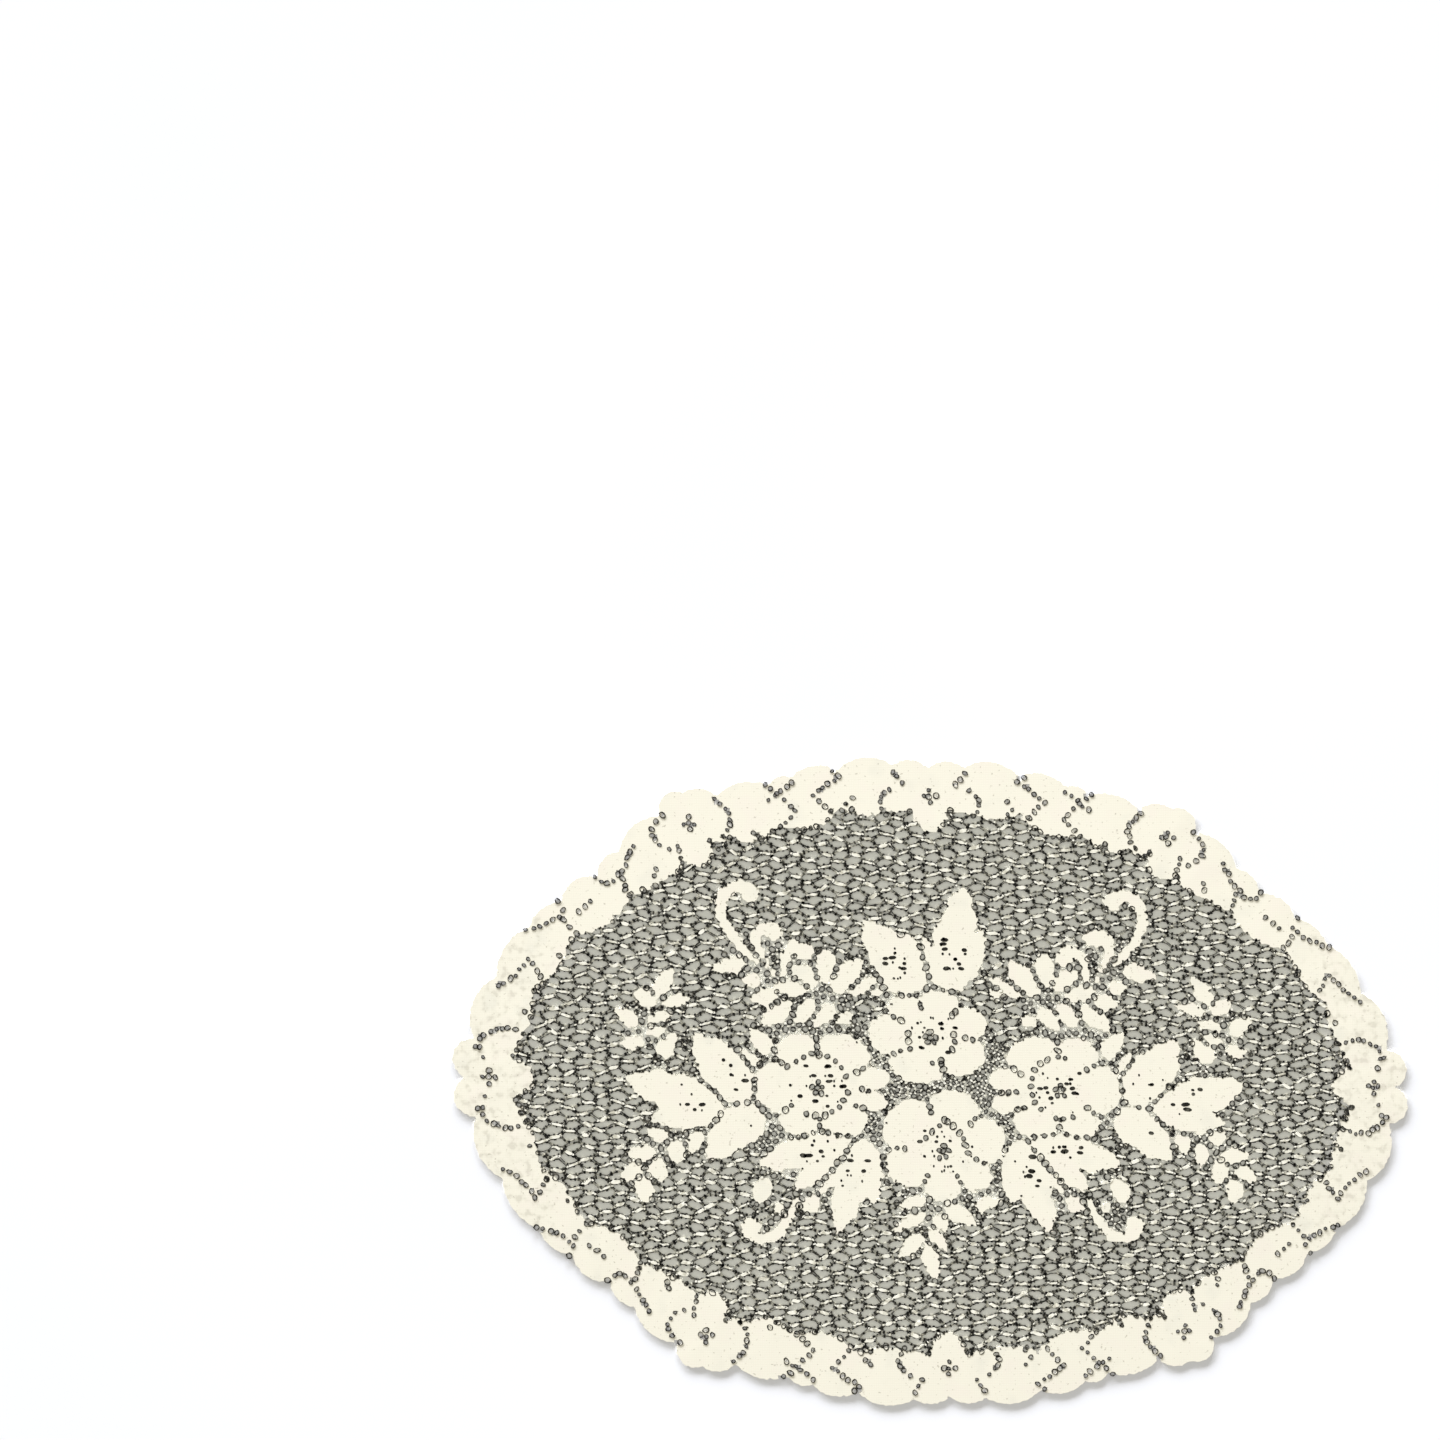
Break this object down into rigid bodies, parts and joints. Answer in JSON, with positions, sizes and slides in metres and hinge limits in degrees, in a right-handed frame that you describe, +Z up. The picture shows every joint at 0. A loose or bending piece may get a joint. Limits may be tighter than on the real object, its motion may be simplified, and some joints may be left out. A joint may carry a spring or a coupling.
{
  "type": "lace placemat",
  "caption": "Oval cream lace placemat with a scalloped border of flowers and leaves, an open net ground and a rose bouquet in the middle.",
  "frame": {"origin": "middle of the mat's outline, on the face that rests on the table", "axes": "+X along the mat's length, +Y along its width, +Z up out of the face that shows"},
  "size_m": [0.483, 0.328, 0.0015],
  "materials": {
    "lace_yarn": "matt knitted lace"
  },
  "bodies": {
    "root": {"lace_mat": "lace_yarn"}
  },
  "joints": []
}
